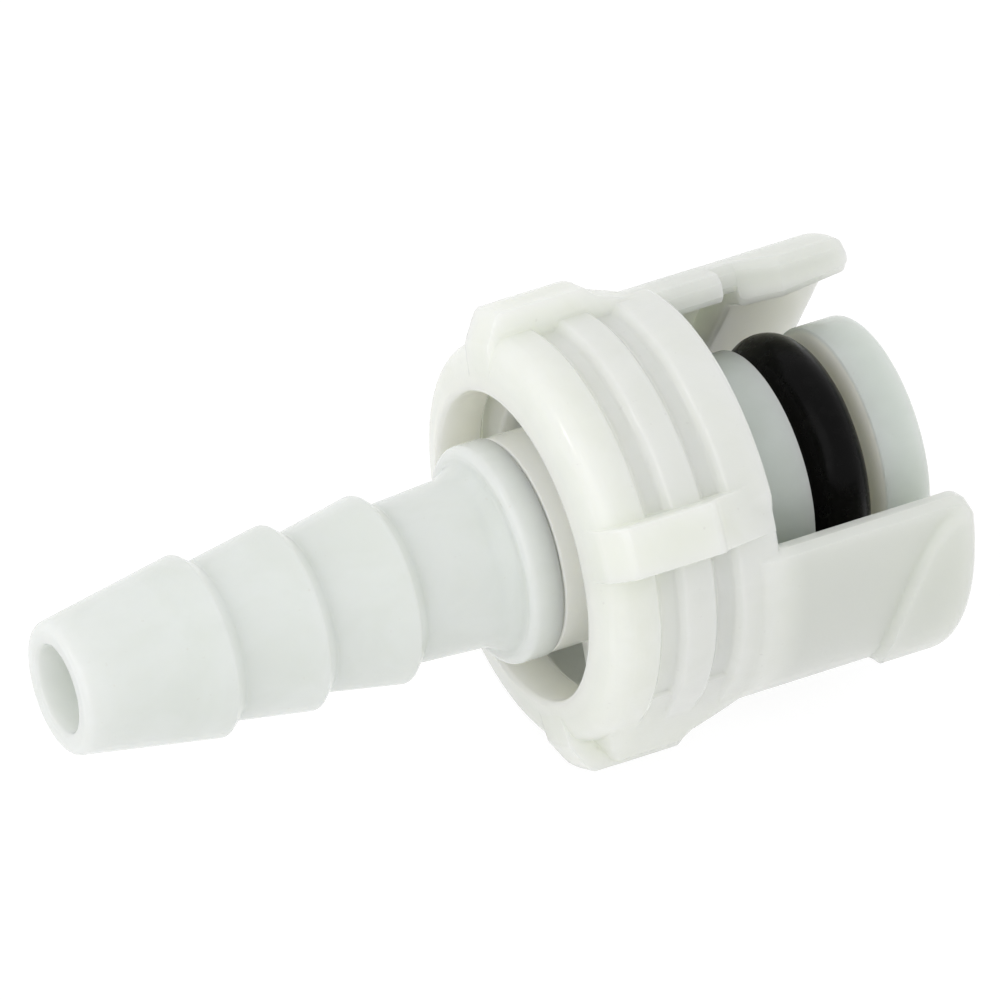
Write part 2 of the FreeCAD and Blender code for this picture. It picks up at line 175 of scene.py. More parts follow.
@dataclass(frozen=True)
class NaturalPolypropylene:
    """Natural polypropylene, injection moulded: milky, lets light a little way in, satin skin.

    The eye sees a soft edge where slender walls glow, faint clouds from the melt's flow, a few specks
    and a fine eggshell grain in the highlights. A mould's real grain is about half as coarse, and is
    drawn at a size that shows. Painted shade can grey the outer skin past a station, and painted light
    can pale inward faces and the hub.
    """

    name: str
    pale: str = "edf0e7"
    deep: str = "e9ece2"
    cloud_mm: float = 4.0
    cloud_band: Band = (0.38, 0.66)
    speck: str = "dcddd5"
    speck_mm: float = 0.4
    speck_band: Band = (0.74, 0.84)
    speck_share: float = 0.6
    grain_mm: float = 0.28
    grain_height_mm: float = 0.006
    sheen_band: Band = (0.3, 0.7)
    roughness: Band = (0.18, 0.26)
    ior: float = 1.49
    glow: float = 1.0
    glow_tint: tuple[float, float, float] = (1.0, 0.99, 0.92)
    glow_depth_mm: float = 4.0
    # painted shade: a greyer colour laid on the outer skin past a station along the axis, standing in for
    # the shade on the collar's arms
    painted_shade: str = "d8dbd4"
    painted_shade_x_mm: Band | None = None
    painted_shade_r_mm: Band = (10.1, 11.3)
    # painted light: a paler colour laid on faces towards the axis, standing in for light that the walls let
    # into the hollows
    inner: str = "f6f8ea"
    inward_painted_light_r_mm: Band | None = None
    # painted light: a paler colour laid near the hub, standing in for light that the walls let in around it
    hub_painted_light: str = "faf9f3"
    hub_painted_light_and_depth_r_mm: Band | None = None
    backed_depth_mm: float = 0.1

    def from_axis(self, tree: bpy.types.NodeTree, place: bpy.types.NodeSocket) -> bpy.types.NodeSocket:
        """Adds nodes for the distance from the flow axis.

        Args:
            tree: The node tree.
            place: Socket of the object coordinates.

        Returns:
            The distance's socket, in metres.
        """
        parts = add_node(tree, "ShaderNodeSeparateXYZ", None, {"Vector": place})
        across = add_node(
            tree, "ShaderNodeCombineXYZ", None, {"Y": parts.outputs["Y"], "Z": parts.outputs["Z"]}
        )
        return add_node(
            tree, "ShaderNodeVectorMath", None, {0: across.outputs["Vector"]}, operation="LENGTH"
        ).outputs["Value"]

    def inwards(
        self,
        tree: bpy.types.NodeTree,
        place: bpy.types.NodeSocket,
        radii_mm: Band,
        values: Band = (0.0, 1.0),
    ) -> bpy.types.NodeSocket:
        """Adds nodes for a value that changes evenly with the distance from the flow axis.

        Args:
            tree: The node tree.
            place: Socket of the object coordinates.
            radii_mm: Distances at which the change starts and ends.
            values: The value at each.

        Returns:
            The value's socket.
        """
        return add_node(
            tree, "ShaderNodeMapRange",
            {
                "From Min": radii_mm[0] * MM, "From Max": radii_mm[1] * MM,
                "To Min": values[0], "To Max": values[1],
            },
            {"Value": self.from_axis(tree, place)},
        ).outputs["Result"]

    def painted_light_layers(self, tree: bpy.types.NodeTree, place: bpy.types.NodeSocket) -> list[Layer]:
        """Paints shade on the outer skin past a station along the axis, and paints light on what faces
        inwards and near the hub.

        Formula: the painted shade's share rises along the flow axis, times a share that rises with the
        distance from the axis through the wall. The share of painted light on inward faces rises towards
        the axis, and so does the share of painted light near the hub, where light also stays near the skin.

        Args:
            tree: The node tree.
            place: Socket of the object coordinates.

        Returns:
            The share and the hex colour of each layer.
        """
        layers = []
        # painted shade on the outer skin past the station
        if self.painted_shade_x_mm:
            parts = add_node(tree, "ShaderNodeSeparateXYZ", None, {"Vector": place})
            along = add_node(
                tree, "ShaderNodeMapRange",
                {"From Min": self.painted_shade_x_mm[0] * MM, "From Max": self.painted_shade_x_mm[1] * MM},
                {"Value": parts.outputs["X"]}, interpolation_type="SMOOTHSTEP",
            )
            outer = add_node(
                tree, "ShaderNodeMapRange",
                {"From Min": self.painted_shade_r_mm[0] * MM, "From Max": self.painted_shade_r_mm[1] * MM},
                {"Value": self.from_axis(tree, place)}, interpolation_type="SMOOTHSTEP",
            )
            both = add_node(
                tree, "ShaderNodeMath", None,
                {0: along.outputs["Result"], 1: outer.outputs["Result"]}, operation="MULTIPLY",
            )
            layers.append((both.outputs["Value"], self.painted_shade))
        # painted light on faces towards the axis
        if self.inward_painted_light_r_mm:
            layers.append((self.inwards(tree, place, self.inward_painted_light_r_mm), self.inner))
        # painted light near the hub; the same band also makes the glow shallower there
        if self.hub_painted_light_and_depth_r_mm:
            layers.append((self.inwards(tree, place, self.hub_painted_light_and_depth_r_mm), self.hub_painted_light))
        return layers

    def make(self) -> bpy.types.Material:
        """Builds the node material.

        Returns:
            The material.
        """
        material, tree = blank_material(self.name)
        place = add_node(tree, "ShaderNodeTexCoord").outputs["Object"]
        clouds = add_node(
            tree, "ShaderNodeTexNoise",
            {"Scale": 1 / (self.cloud_mm * MM), "Detail": 3.0, "Roughness": 0.55, "Distortion": 0.6},
            {"Vector": place},
        )
        drift = add_node(
            tree, "ShaderNodeMapRange",
            {"From Min": self.cloud_band[0], "From Max": self.cloud_band[1]},
            {"Value": clouds.outputs["Fac"]},
        )
        specks = add_node(
            tree, "ShaderNodeTexNoise",
            {"Scale": 1 / (self.speck_mm * MM), "Detail": 1.0, "Roughness": 0.5},
            {"Vector": place},
        )
        rare = add_node(
            tree, "ShaderNodeMapRange",
            {"From Min": self.speck_band[0], "From Max": self.speck_band[1], "To Max": self.speck_share},
            {"Value": specks.outputs["Fac"]},
        )
        layers = [(drift.outputs["Result"], self.deep), (rare.outputs["Result"], self.speck)]
        sheen = add_node(
            tree, "ShaderNodeMapRange",
            {
                "From Min": self.sheen_band[0], "From Max": self.sheen_band[1],
                "To Min": self.roughness[0], "To Max": self.roughness[1],
            },
            {"Value": clouds.outputs["Fac"]},
        )
        grain = add_node(
            tree, "ShaderNodeTexNoise",
            {"Scale": 1 / (self.grain_mm * MM), "Detail": 2.0, "Roughness": 0.6},
            {"Vector": place},
        )
        skin = add_node(
            tree, "ShaderNodeBump",
            {"Strength": 1.0, "Distance": self.grain_height_mm * MM},
            {"Height": grain.outputs["Fac"]},
        )
        links = {
            "Base Color": layered_colour(tree, self.pale, layers + self.painted_light_layers(tree, place)),
            "Roughness": sheen.outputs["Result"],
            "Normal": skin.outputs["Normal"],
        }
        if self.hub_painted_light_and_depth_r_mm:
            depths = (self.glow_depth_mm * MM, self.backed_depth_mm * MM)
            links["Subsurface Scale"] = self.inwards(tree, place, self.hub_painted_light_and_depth_r_mm, depths)
        shader = add_node(
            tree, "ShaderNodeBsdfPrincipled",
            {
                "IOR": self.ior,
                "Subsurface Weight": self.glow,
                "Subsurface Radius": self.glow_tint,
                "Subsurface Scale": self.glow_depth_mm * MM,
            },
            links,
        )
        add_node(tree, "ShaderNodeOutputMaterial", None, {"Surface": shader.outputs["BSDF"]})
        return material


@dataclass(frozen=True)
class MouldedRubber:
    """Black synthetic rubber, compression moulded: near black, with a soft wet-looking sheen."""

    name: str
    colour: str = "040404"
    dusty: str = "0c0c0c"
    dust_band: Band = (0.52, 0.80)
    sheen_band: Band = (0.3, 0.7)
    roughness: Band = (0.16, 0.32)
    ior: float = 1.52
    specular: float = 0.08
    mottle_mm: float = 0.9
    mottle_height_mm: float = 0.02

    def make(self) -> bpy.types.Material:
        """Builds the node material.

        Returns:
            The material.
        """
        material, tree = blank_material(self.name)
        place = add_node(tree, "ShaderNodeTexCoord").outputs["Object"]
        mottle = add_node(
            tree, "ShaderNodeTexNoise",
            {"Scale": 1 / (self.mottle_mm * MM), "Detail": 4.0, "Roughness": 0.6},
            {"Vector": place},
        )
        dust = add_node(
            tree, "ShaderNodeMapRange",
            {"From Min": self.dust_band[0], "From Max": self.dust_band[1]},
            {"Value": mottle.outputs["Fac"]},
        )
        sheen = add_node(
            tree, "ShaderNodeMapRange",
            {
                "From Min": self.sheen_band[0], "From Max": self.sheen_band[1],
                "To Min": self.roughness[0], "To Max": self.roughness[1],
            },
            {"Value": mottle.outputs["Fac"]},
        )
        skin = add_node(
            tree, "ShaderNodeBump",
            {"Strength": 1.0, "Distance": self.mottle_height_mm * MM},
            {"Height": mottle.outputs["Fac"]},
        )
        shader = add_node(
            tree, "ShaderNodeBsdfPrincipled",
            {"IOR": self.ior, "Specular IOR Level": self.specular},
            {
                "Base Color": layered_colour(tree, self.colour, [(dust.outputs["Result"], self.dusty)]),
                "Roughness": sheen.outputs["Result"],
                "Normal": skin.outputs["Normal"],
            },
        )
        add_node(tree, "ShaderNodeOutputMaterial", None, {"Surface": shader.outputs["BSDF"]})
        return material


@dataclass(frozen=True)
class DrawnSpringSteel:
    """Stainless spring wire, cold drawn: grey metal with fine changes of gloss from the die."""

    name: str
    colour: str = "b9b8b6"
    roughness: Band = (0.23, 0.36)
    mark_mm: float = 0.12

    def make(self) -> bpy.types.Material:
        """Builds the node material.

        Returns:
            The material.
        """
        material, tree = blank_material(self.name)
        place = add_node(tree, "ShaderNodeTexCoord").outputs["Object"]
        marks = add_node(
            tree, "ShaderNodeTexNoise",
            {"Scale": 1 / (self.mark_mm * MM), "Detail": 2.0},
            {"Vector": place},
        )
        sheen = add_node(
            tree, "ShaderNodeMapRange",
            {"To Min": self.roughness[0], "To Max": self.roughness[1]},
            {"Value": marks.outputs["Fac"]},
        )
        shader = add_node(
            tree, "ShaderNodeBsdfPrincipled",
            {"Base Color": linear(self.colour), "Metallic": 1.0},
            {"Roughness": sheen.outputs["Result"]},
        )
        add_node(tree, "ShaderNodeOutputMaterial", None, {"Surface": shader.outputs["BSDF"]})
        return material


class Finish(Enum):
    """The finishes of the insert's pieces."""

    STEM = NaturalPolypropylene("natural_polypropylene_stem", pale="e6ebe6", deep="e2e7e1")
    # painted shade: a darker copy of the collar's polypropylene, standing in for the shade the probe lies
    # in; its inward band paints light on the groove's walls and the bore
    PROBE = NaturalPolypropylene(
        "natural_polypropylene_probe_painted_light_and_shade", pale="ced5d0", deep="c9d0ca", speck="c2c7c2", inward_painted_light_r_mm=(7.05, 6.7)
    )
    # painted shade greys the arms' outer skin; painted light pales the ring's inside and the hub
    COLLAR = NaturalPolypropylene(
        "natural_polypropylene_collar_painted_light_and_shade", painted_shade_x_mm=(39.0, 41.5), inward_painted_light_r_mm=(10.2, 9.2),
        hub_painted_light_and_depth_r_mm=(7.0, 6.4),
    )
    VALVE = NaturalPolypropylene("natural_polypropylene_valve", pale="e6e8e4", deep="dee1dc")
    SEAL = MouldedRubber("black_moulded_rubber")
    SPRING = DrawnSpringSteel("drawn_spring_steel")


class Dresser:
    """Makes each finish once and gives it to pieces."""

    def __init__(self) -> None:
        """Makes the materials."""
        self.materials = {finish: finish.value.make() for finish in Finish}

    def dress(self, piece: bpy.types.Object, finish: Finish) -> None:
        """Puts one finish on every face of a piece.

        Args:
            piece: The piece to dress.
            finish: The finish that it gets.
        """
        piece.data.materials.clear()
        piece.data.materials.append(self.materials[finish])


# Surfaces


RUN_SHARE = 0.98  # most of a run that the arcs at its ends may take
END_MARGIN = 0.08  # how far the extra sample lies from a flat run's end


def outline_points(
    corners: list[Corner], run_step: float = 0.6, arc_points: int = 7, closed: bool = True
) -> np.ndarray:
    """Samples an outline whose corners are arcs.

    Formula: each corner is replaced by an arc of its radius, tangent to the two runs that meet there,
    and each straight run between arcs is divided evenly, with one extra sample near each end so that
    the shading of a flat run stays flat.

    Args:
        corners: (x, r, radius) of each corner, in order.
        run_step: Longest sample distance along a run.
        arc_points: Samples along an arc.
        closed: Whether the last corner joins the first.

    Returns:
        Samples as an array of (x, r).
    """
    spots = np.array([(x, r) for x, r, _ in corners], float)
    radii = np.array([radius for _, _, radius in corners], float)
    before = np.roll(spots, 1, axis=0) - spots
    after = np.roll(spots, -1, axis=0) - spots
    before_len = np.linalg.norm(before, axis=1)
    after_len = np.linalg.norm(after, axis=1)
    to_before = before / before_len[:, None]
    to_after = after / after_len[:, None]
    half = np.arccos(np.clip((to_before * to_after).sum(1), -1, 1)) / 2
    share_before = RUN_SHARE * radii / np.maximum(radii + np.roll(radii, 1), TINY)
    share_after = RUN_SHARE * radii / np.maximum(radii + np.roll(radii, -1), TINY)
    reach = np.minimum.reduce([radii / np.tan(half), share_before * before_len, share_after * after_len])
    arcs = []
    turn = np.linspace(0, 1, arc_points)[:, None]
    for index in range(len(corners)):
        if radii[index] == 0:
            arcs.append(spots[index][None, :])
            continue
        fitted = reach[index] * math.tan(half[index])
        inward = to_before[index] + to_after[index]
        inward /= np.linalg.norm(inward)
        centre = spots[index] + inward * fitted / math.sin(half[index])
        first = spots[index] + to_before[index] * reach[index] - centre
        last = spots[index] + to_after[index] * reach[index] - centre
        sweep = math.acos(np.clip(first @ last / fitted ** 2, -1, 1))
        ray = (np.sin((1 - turn) * sweep) * first + np.sin(turn * sweep) * last) / math.sin(sweep)
        arcs.append(centre + ray)
    samples = []
    for index in range(len(corners)):
        samples.append(arcs[index])
        if index == len(corners) - 1 and not closed:
            break
        start = arcs[index][-1]
        end = arcs[(index + 1) % len(corners)][0]
        length = float(np.linalg.norm(end - start))
        margin = min(END_MARGIN, length / 4) / max(length, TINY)
        count = max(2, int(math.ceil(length / run_step)) + 1)
        samples.append(start + (end - start) * np.linspace(margin, 1 - margin, count)[:, None])
    return np.concatenate(samples)


def from_polar(x: np.ndarray, r: np.ndarray, degrees: np.ndarray) -> np.ndarray:
    """Turns places round the flow axis into points.

    Formula: y = -r sin(angle), z = r cos(angle), so an angle runs from +Z by the right-hand rule.

    Args:
        x: Stations along the flow axis.
        r: Distances from the axis.
        degrees: Angles about the axis.

    Returns:
        Points in an array with a last axis of three.
    """
    turn = np.radians(degrees)
    x, r, turn = np.broadcast_arrays(x, r, turn)
    return np.stack([x, -r * np.sin(turn), r * np.cos(turn)], axis=-1)


def grid_piece(
    name: str, points: np.ndarray, wrap_rows: bool = True, caps: list[np.ndarray] | None = None
) -> bpy.types.Object:
    """Makes a mesh object from a grid of points whose columns close on themselves.

    Formula: quad (i, j) joins points (i, j), (i + 1, j), (i + 1, j + 1) and (i, j + 1), and the last
    column joins the first. With wrapped rows the last row joins the first too.

    Args:
        name: The piece's name.
        points: Grid of rows by columns by three, in millimetres.
        wrap_rows: Whether the last row joins the first.
        caps: Further quads, as arrays of four indices a row.

    Returns:
        The object, its faces turned outwards.
    """
    rows, columns = points.shape[:2]
    index = np.arange(rows * columns).reshape(rows, columns)
    here = index if wrap_rows else index[:-1]
    below = np.roll(index, -1, axis=0) if wrap_rows else index[1:]
    quads = np.stack([here, below, np.roll(below, -1, axis=1), np.roll(here, -1, axis=1)], axis=-1)
    quads = np.concatenate([quads.reshape(-1, 4), *(caps or [])])
    flat = points.reshape(-1, 3)
    corners = flat[quads]
    crosses = np.cross(corners[:, 2] - corners[:, 0], corners[:, 3] - corners[:, 1])
    if float((corners.mean(1) * crosses).sum()) < 0:
        quads = quads[:, ::-1]
    mesh = bpy.data.meshes.new(name)
    mesh.vertices.add(len(flat))
    mesh.vertices.foreach_set("co", (flat * MM).astype(np.float32).ravel())
    mesh.loops.add(quads.size)
    mesh.loops.foreach_set("vertex_index", quads.astype(np.int32).ravel())
    mesh.polygons.add(len(quads))
    mesh.polygons.foreach_set("loop_start", np.arange(0, quads.size, 4, dtype=np.int32))
    mesh.polygons.foreach_set("use_smooth", np.ones(len(quads), bool))
    mesh.update(calc_edges=True)
    mesh.validate()
    piece = bpy.data.objects.new(name, mesh)
    bpy.context.scene.collection.objects.link(piece)
    return piece


def lathed(name: str, outline: np.ndarray, segments: int = 180) -> bpy.types.Object:
    """Turns a closed outline about the flow axis.

    Formula: point (i, j) is the outline's point j at the angle 360 i / segments.

    Args:
        name: The piece's name.
        outline: Samples of (x, r).
        segments: Steps round the axis.

    Returns:
        The closed ring-shaped object.
    """
    degrees = np.arange(segments)[:, None] * 360 / segments
    return grid_piece(name, from_polar(outline[None, :, 0], outline[None, :, 1], degrees))


def ladder_cap(row: np.ndarray) -> np.ndarray:
    """Closes a loop made of a run out and the same number of samples back.

    Formula: quad j joins samples j and j + 1 of the run out with their partners on the run back.

    Args:
        row: Vertex indices of the loop.

    Returns:
        Quads as an array of four indices a row.
    """
    half = len(row) // 2
    out = row[:half]
    back = row[half:][::-1]
    return np.stack([out[:-1], out[1:], back[1:], back[:-1]], axis=-1)


def capped_sweep(name: str, points: np.ndarray) -> bpy.types.Object:
    """Makes a mesh object from loops set one after another, with both end loops closed by ladders.

    Args:
        name: The piece's name.
        points: A loop in each row, by columns by three, in millimetres.

    Returns:
        The closed object.
    """
    rows, columns = points.shape[:2]
    index = np.arange(rows * columns).reshape(rows, columns)
    return grid_piece(name, points, False, [ladder_cap(index[0]), ladder_cap(index[-1])[:, ::-1]])


def smooth_step(share: np.ndarray) -> np.ndarray:
    """Rises from 0 to 1 as a share does, with level ends."""
    share = np.clip(share, 0, 1)
    return share ** 2 * (3 - 2 * share)


def smooth_less(a: np.ndarray, b: np.ndarray, blend: float) -> np.ndarray:
    """The lower of two heights, with the crease between them rounded over a blend width."""
    share = np.clip(0.5 + 0.5 * (b - a) / blend, 0, 1)
    return b + (a - b) * share - blend * share * (1 - share)


def smooth_more(a: np.ndarray, b: np.ndarray, blend: float) -> np.ndarray:
    """The higher of two heights, with the crease between them rounded over a blend width."""
    return -smooth_less(-a, -b, blend)


def rounded_edge(distance: np.ndarray, radius: float) -> np.ndarray:
    """How far a quarter-round edge of a radius drops below its face, at a distance from the edge."""
    inside = np.clip(radius - distance, 0, radius)
    return radius - np.sqrt(radius ** 2 - inside ** 2)


# The insert's pieces


def node_end(node: str, end: int) -> float:
    """The first (0) or last (1) station of a CAD node, to a hundredth of a millimetre."""
    return round(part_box(node)[end].x / MM, 2)


@dataclass(frozen=True)
class Stations:
    """Stations along the flow axis that several pieces share. The CAD frame gives those that end a node."""

    drum_x0: float = 26.7
    drum_x1: float = 28.7
    hub_x0: float = 28.8
    hub_x1: float = 33.4
    journal_x1: float = node_end("probe_housing", 0)
    ring_x0: float = 29.4
    ring_x1: float = 39.85
    seal_x0: float = 44.35
    seal_x1: float = 49.0
    probe_x1: float = node_end("probe_housing", 1)
    spring_x0: float = 31.44
    spigot_x1: float = node_end("hose_stem", 1)
    poppet_head_x0: float = 40.34


AT = Stations()


def settle(piece: bpy.types.Object, body: str, stands_for: str) -> bpy.types.Object:
    """Rides a new piece on its body and hides the CAD node that it stands for.

    Args:
        piece: The new piece.
        body: The CAD body that carries it.
        stands_for: The CAD node that it replaces.

    Returns:
        The same piece.
    """
    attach(piece, body)
    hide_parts(stands_for)
    return piece


@dataclass
class HoseStem:
    """Moulded hose barb with a neck, a drum, the collar's journal and a spigot, bored through."""

    bore_r: float = 2.6
    mouth_radius: float = 0.25
    tip_r: float = 3.85
    tip_radius: float = 0.5
    barbs: int = 3
    crest_x: float = 8.7
    pitch: float = 5.7
    crest_r: float = 5.35
    crest_growth: float = 0.09
    crest_radius: float = 0.25
    root_r: float = 4.65
    root_radius: float = 0.3
    back_length: float = 0.9
    neck_r: float = 4.95
    neck_flare_x: float = 25.6
    neck_flare_r: float = 5.55
    neck_fillet: float = 1.8
    flare_fillet: float = 0.5
    drum_r: float = 6.4
    drum_radius: float = 0.6
    journal_r: float = 5.4
    spigot_r: float = 4.93
    spigot_radius: float = 0.25
    pocket_r: float = 3.73
    small: float = 0.1

    def outline(self) -> list[Corner]:
        """Corners of the stem's section.

        Returns:
            (x, r, radius) of each corner.
        """
        corners: list[Corner] = [(0, self.bore_r, self.mouth_radius), (0, self.tip_r, self.tip_radius)]
        for barb in range(self.barbs):
            x = self.crest_x + self.pitch * barb
            corners.append((x, self.crest_r + self.crest_growth * barb, self.crest_radius))
            corners.append((x + self.back_length, self.root_r, self.root_radius))
        corners += [
            (self.neck_flare_x, self.neck_r, self.neck_fillet),
            (AT.drum_x0, self.neck_flare_r, self.flare_fillet),
            (AT.drum_x0, self.drum_r, self.drum_radius),
            (AT.drum_x1, self.drum_r, self.small),
            (AT.drum_x1, self.journal_r, self.small),
            (AT.journal_x1, self.journal_r, self.small),
            (AT.journal_x1, self.spigot_r, self.small),
            (AT.spigot_x1, self.spigot_r, self.spigot_radius),
            (AT.spigot_x1, self.pocket_r, self.small),
            (AT.spring_x0, self.pocket_r, self.small),
            (AT.spring_x0, self.bore_r, self.small),
        ]
        return corners

    def build(self, dresser: Dresser) -> None:
        """Builds and dresses the stem.

        Args:
            dresser: Gives the finish.
        """
        piece = lathed("barbed_hose_stem", outline_points(self.outline()))
        dresser.dress(settle(piece, "body", "hose_stem"), Finish.STEM)
        log.info("hose stem: %d faces", len(piece.data.polygons))


@dataclass
class Probe:
    """Moulded probe housing with its two lands and groove, and the O-ring stretched into the groove."""

    land_r: float = 7.1
    land_radius: float = 0.3
    nose_radius: float = 0.35
    floor_r: float = 3.9
    chamber_r: float = 4.95
    throat_r: float = 2.9
    mouth_chamfer: float = 0.5
    seat_x1: float = 44.05
    small: float = 0.08
    seal_section: float = 3.5
    seal_clearance: float = 0.02
    seal_wave: float = 0.02
    seal_x: float = 46.7
    seal_tilt: float = 0.05
    seal_tilt_angle: float = 32.5
    seal_segments: int = 240
    seal_sides: int = 48

    def outline(self) -> list[Corner]:
        """Corners of the housing's section.

        Returns:
            (x, r, radius) of each corner.
        """
        tip = AT.probe_x1
        return [
            (AT.journal_x1, self.chamber_r, self.small),
            (AT.journal_x1, self.land_r, self.land_radius),
            (AT.seal_x0, self.land_r, self.small),
            (AT.seal_x0, self.floor_r, self.small),
            (AT.seal_x1, self.floor_r, self.small),
            (AT.seal_x1, self.land_r, self.small),
            (tip, self.land_r, self.nose_radius),
            (tip, self.throat_r + self.mouth_chamfer, self.small),
            (tip - self.mouth_chamfer, self.throat_r, self.small),
            (self.seat_x1, self.throat_r, self.small),
            (self.seat_x1 - self.chamber_r + self.throat_r, self.chamber_r, self.small),
        ]

    def seal(self) -> bpy.types.Object:
        """Makes the O-ring.

        Formula: a circle of half the section, turned about the axis, whose radius swells and shrinks
        by a few hundredths of a millimetre with two slow waves, as rubber stretched in a groove does.
        It lies a little askew in its groove, nearer the collar at the tilt angle.

        Returns:
            The O-ring.
        """
        around = np.radians(np.arange(self.seal_segments)[:, None] * 360 / self.seal_segments)
        turn = np.radians(np.arange(self.seal_sides)[None, :] * 360 / self.seal_sides)
        wave = self.seal_wave * (np.sin(5 * around + 2 * turn) + 0.6 * np.sin(11 * around - 3 * turn + 1))
        section = self.seal_section / 2 - self.seal_wave + 0.5 * wave
        mean_r = self.floor_r + self.seal_clearance + self.seal_section / 2
        lean = self.seal_tilt * np.cos(around - math.radians(self.seal_tilt_angle))
        x = self.seal_x - lean + section * np.cos(turn)
        r = mean_r + section * np.sin(turn)
        return grid_piece("probe_o_ring", from_polar(x, r, np.degrees(around)))

    def build(self, dresser: Dresser) -> None:
        """Builds and dresses the housing and its O-ring.

        Args:
            dresser: Gives the finishes.
        """
        housing = lathed("probe_body", outline_points(self.outline()))
        dresser.dress(settle(housing, "body", "probe_housing"), Finish.PROBE)
        ring = self.seal()
        dresser.dress(settle(ring, "body", "probe_seal"), Finish.SEAL)
        log.info("probe: %d and %d faces", len(housing.data.polygons), len(ring.data.polygons))


@dataclass
class Valve:
    """Sprung poppet: the CAD poppet with eased shading, its small O-ring and the wire spring."""

    seal_x: float = 43.04
    seal_mean_r: float = 3.0
    seal_section: float = 1.2
    seal_sides: int = 32
    coil_r: float = 3.0
    wire_r: float = 0.3
    wire_sides: int = 16
    turns: float = 5.5
    turn_samples: int = 80
    end_turns: float = 0.85
    closed_pitch: float = 0.63
    travel: float = 3.0
    end_gap: float = 0.02
    sharp_degrees: float = 32.0
    join_distance: float = 1e-6

    def ease(self, node: bpy.types.Object) -> None:
        """Joins a CAD node's loose triangles and shades them smooth up to its sharp edges.

        Args:
            node: The CAD node.
        """
        tree = bpy.data.node_groups.new("eased_shading", "GeometryNodeTree")
        tree.interface.new_socket("Geometry", in_out="INPUT", socket_type="NodeSocketGeometry")
        tree.interface.new_socket("Geometry", in_out="OUTPUT", socket_type="NodeSocketGeometry")
        start = add_node(tree, "NodeGroupInput")
        joined = add_node(
            tree, "GeometryNodeMergeByDistance", {"Distance": self.join_distance},
            {"Geometry": start.outputs["Geometry"]},
        )
        faces = add_node(
            tree, "GeometryNodeSetShadeSmooth", {"Shade Smooth": True},
            {"Geometry": joined.outputs["Geometry"]}, domain="FACE",
        )
        bend = add_node(tree, "GeometryNodeInputMeshEdgeAngle")
        soft = add_node(
            tree, "FunctionNodeCompare", {"B": math.radians(self.sharp_degrees)},
            {"A": bend.outputs["Unsigned Angle"]}, data_type="FLOAT", operation="LESS_THAN",
        )
        edges = add_node(
            tree, "GeometryNodeSetShadeSmooth", None,
            {"Geometry": faces.outputs["Geometry"], "Shade Smooth": soft.outputs["Result"]}, domain="EDGE",
        )
        add_node(tree, "NodeGroupOutput", None, {"Geometry": edges.outputs["Geometry"]})
        node.modifiers.new("eased_shading", "NODES").node_group = tree

    def spring(self) -> bpy.types.Object:
        """Sweeps round wire along the coil.

        Formula: the coil's pitch is about a wire's width over the closed end turns and even between
        them, and both ends are ground flat by holding every point inside the spring's length.

        Returns:
            The spring.
        """
        x0 = AT.spring_x0 + self.end_gap
        x1 = AT.poppet_head_x0 - self.end_gap
        turns = np.linspace(0, self.turns, int(self.turns * self.turn_samples) + 1)
        end_rise = self.end_turns * self.closed_pitch
        middle_rise = x1 - x0 - 2 * self.wire_r - 2 * end_rise
        ends = [0, self.end_turns, self.turns - self.end_turns, self.turns]
        x = np.interp(turns, ends, np.cumsum([0, end_rise, middle_rise, end_rise]))
        x = x + x0 + self.wire_r
        coil = from_polar(x, self.coil_r, turns * 360)
        along = np.gradient(coil, axis=0)
        along /= np.linalg.norm(along, axis=1)[:, None]
        out = from_polar(np.zeros_like(x), 1.0, turns * 360)
        side = np.cross(along, out)
        side /= np.linalg.norm(side, axis=1)[:, None]
        turn = np.radians(np.arange(self.wire_sides) * 360 / self.wire_sides)[None, :, None]
        points = coil[:, None] + self.wire_r * (np.cos(turn) * out[:, None] + np.sin(turn) * side[:, None])
        points[..., 0] = np.clip(points[..., 0], x0, x1)
        return capped_sweep("poppet_spring", points)

    def build(self, dresser: Dresser) -> None:
        """Builds and dresses the spring and the small O-ring, and dresses the poppet.

        Args:
            dresser: Gives the finishes.
        """
        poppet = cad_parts["valve_poppet"]
        self.ease(poppet)
        dresser.dress(poppet, Finish.VALVE)
        turn = np.radians(np.arange(self.seal_sides) * 360 / self.seal_sides)
        section = self.seal_section / 2
        x = self.seal_x + section * np.cos(turn)
        r = self.seal_mean_r + section * np.sin(turn)
        ring = lathed("poppet_o_ring", np.stack([x, r], axis=1))
        dresser.dress(settle(ring, "poppet", "poppet_seal"), Finish.SEAL)
        spring = settle(self.spring(), "body", "valve_spring")
        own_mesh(spring)
        dresser.dress(spring, Finish.SPRING)
        log.info("valve: spring of %d faces", len(spring.data.polygons))


